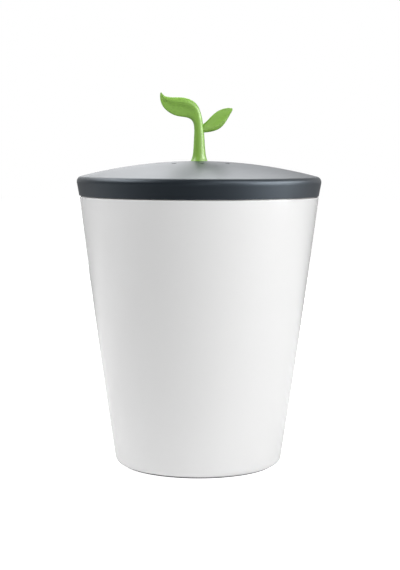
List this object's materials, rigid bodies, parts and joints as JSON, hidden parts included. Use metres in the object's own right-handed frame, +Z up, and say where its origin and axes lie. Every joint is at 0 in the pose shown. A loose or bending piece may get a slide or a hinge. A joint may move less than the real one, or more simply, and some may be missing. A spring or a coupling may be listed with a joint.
{
  "type": "kitchen compost bin",
  "caption": "Countertop compost bin: tapered crock with a lift-out liner bucket, a bail, and a domed vented lid with charcoal filters and a sprout-shaped handle.",
  "frame": {"origin": "on the floor, at the centre of the foot ring, on the crock's axis", "axes": "+Z up along the crock's axis, -Y the front, with the large leaf towards -X and the bail's pivot along X"},
  "size_m": [0.197, 0.197, 0.3011],
  "materials": {
    "crock_gloss_white": "glossy white moulded plastic",
    "foot_rubber": "matt non-slip rubber",
    "bucket_plastic": "satin moulded plastic",
    "bail_plastic": "satin slate-grey moulded plastic",
    "lid_slate": "satin slate-grey moulded plastic",
    "seal_silicone": "translucent grey silicone",
    "sprout_green": "satin green moulded plastic",
    "screw_steel": "plain stainless steel",
    "charcoal_felt": "open carbon-filled fibre felt"
  },
  "bodies": {
    "crock": {"outer_crock": "crock_gloss_white", "foot_ring": "foot_rubber"},
    "bucket": {"inner_bucket": "bucket_plastic"},
    "bail": {"bail_handle": "bail_plastic"},
    "lid": {"lid_shell": "lid_slate", "lid_seal": "seal_silicone", "sprout_handle": "sprout_green", "handle_screw": "screw_steel", "handle_washer": "screw_steel", "upper_charcoal_filter": "charcoal_felt", "lower_charcoal_filter": "charcoal_felt"},
    "cover": {"filter_cover": "lid_slate"}
  },
  "joints": [
    {"name": "bucket_lift", "type": "slide", "parent": "crock", "child": "bucket", "axis": [0, 0, 1], "range_m": [0, 0.215]},
    {"name": "lid_lift", "type": "slide", "parent": "bucket", "child": "lid", "axis": [0, 0, 1], "range_m": [0, 0.13]},
    {"name": "bail_swing", "type": "hinge", "parent": "bucket", "child": "bail", "pos_m": [0, 0, 0.208], "axis": [1, 0, 0], "range_deg": [0, 90]},
    {"name": "cover_twist", "type": "hinge", "parent": "lid", "child": "cover", "pos_m": [0, 0, 0.2279], "axis": [0, 0, -1], "range_deg": [0, 28]}
  ],
  "couplings": [
    {"joint": "bail_swing", "follows": "lid_lift", "rad_per_m": 12.083}
  ]
}
